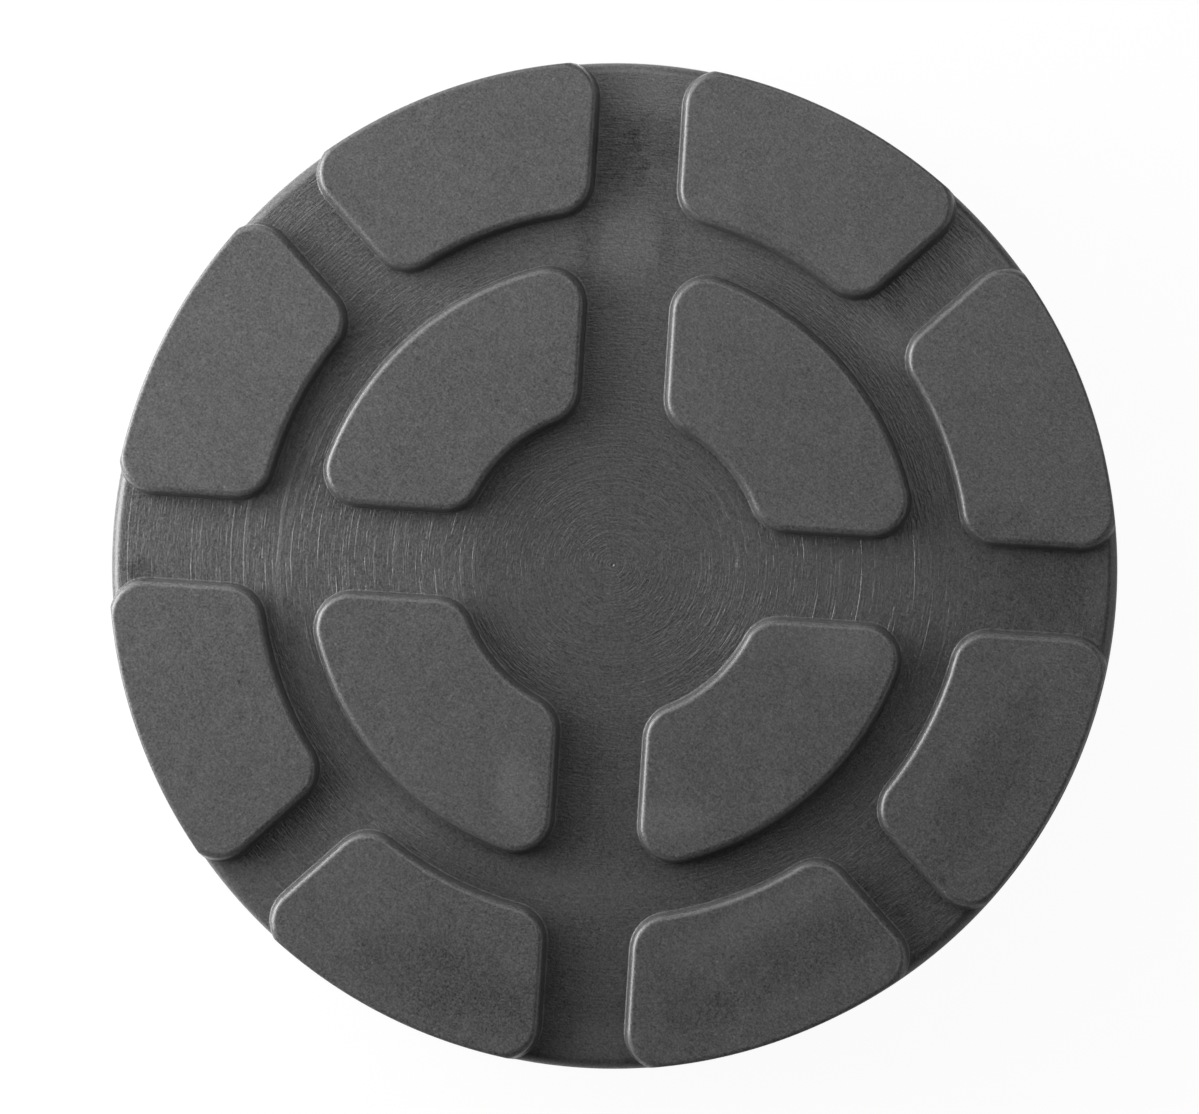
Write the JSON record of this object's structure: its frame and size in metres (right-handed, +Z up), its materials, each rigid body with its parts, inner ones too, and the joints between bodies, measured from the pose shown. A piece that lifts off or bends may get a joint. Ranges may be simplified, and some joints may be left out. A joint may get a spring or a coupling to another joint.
{
  "type": "lift arm rubber pad",
  "caption": "Round black rubber pad for a vehicle lift arm, with a flat underside and a tread of rounded blocks parted by straight, diagonal and ring channels.",
  "frame": {"origin": "centre of the flat underside", "axes": "+Z up through the tread; the two straight channels run along X and Y"},
  "size_m": [0.12, 0.12, 0.02],
  "materials": {
    "rubber": "matt, slightly mottled moulded rubber"
  },
  "bodies": {
    "root": {"lift_pad": "rubber"}
  },
  "joints": []
}
